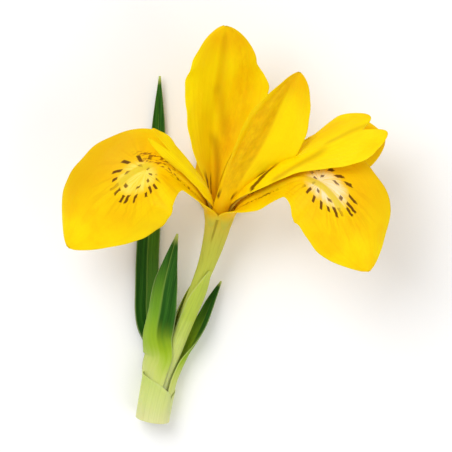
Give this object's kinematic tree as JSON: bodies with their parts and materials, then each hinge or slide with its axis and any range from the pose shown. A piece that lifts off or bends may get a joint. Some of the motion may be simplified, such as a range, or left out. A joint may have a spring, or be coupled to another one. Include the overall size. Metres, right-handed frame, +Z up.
{
  "type": "dwarf iris flower",
  "caption": "Picked dwarf iris lying on its back: drooping falls, upright standards and crested style arms on a tube, with spathes and leaves in a sheath.",
  "frame": {"origin": "middle of the outline seen from above, on the surface that the flower lies on", "axes": "+Y from the cut end towards the bloom; +Z up from the surface, out of the flower's front; +X to the right seen from above with the bloom at the top"},
  "size_m": [0.072, 0.0868, 0.0394],
  "materials": {
    "petal": "satin",
    "anther": "matte",
    "tube": "satin",
    "bract": "satin",
    "leaf": "satin"
  },
  "bodies": {
    "root": {"fall_left": "petal", "fall_right": "petal", "fall_rear": "petal", "standard_left": "petal", "standard_front": "petal", "standard_right": "petal", "style_left": "petal", "style_right": "petal", "style_rear": "petal", "stamen_left": "anther", "stamen_right": "anther", "stamen_rear": "anther", "stem": "tube", "spathe_outer": "bract", "spathe_inner": "bract", "sheath": "bract", "leaf_short": "leaf", "leaf_long": "leaf", "leaf_right": "leaf"}
  },
  "joints": []
}
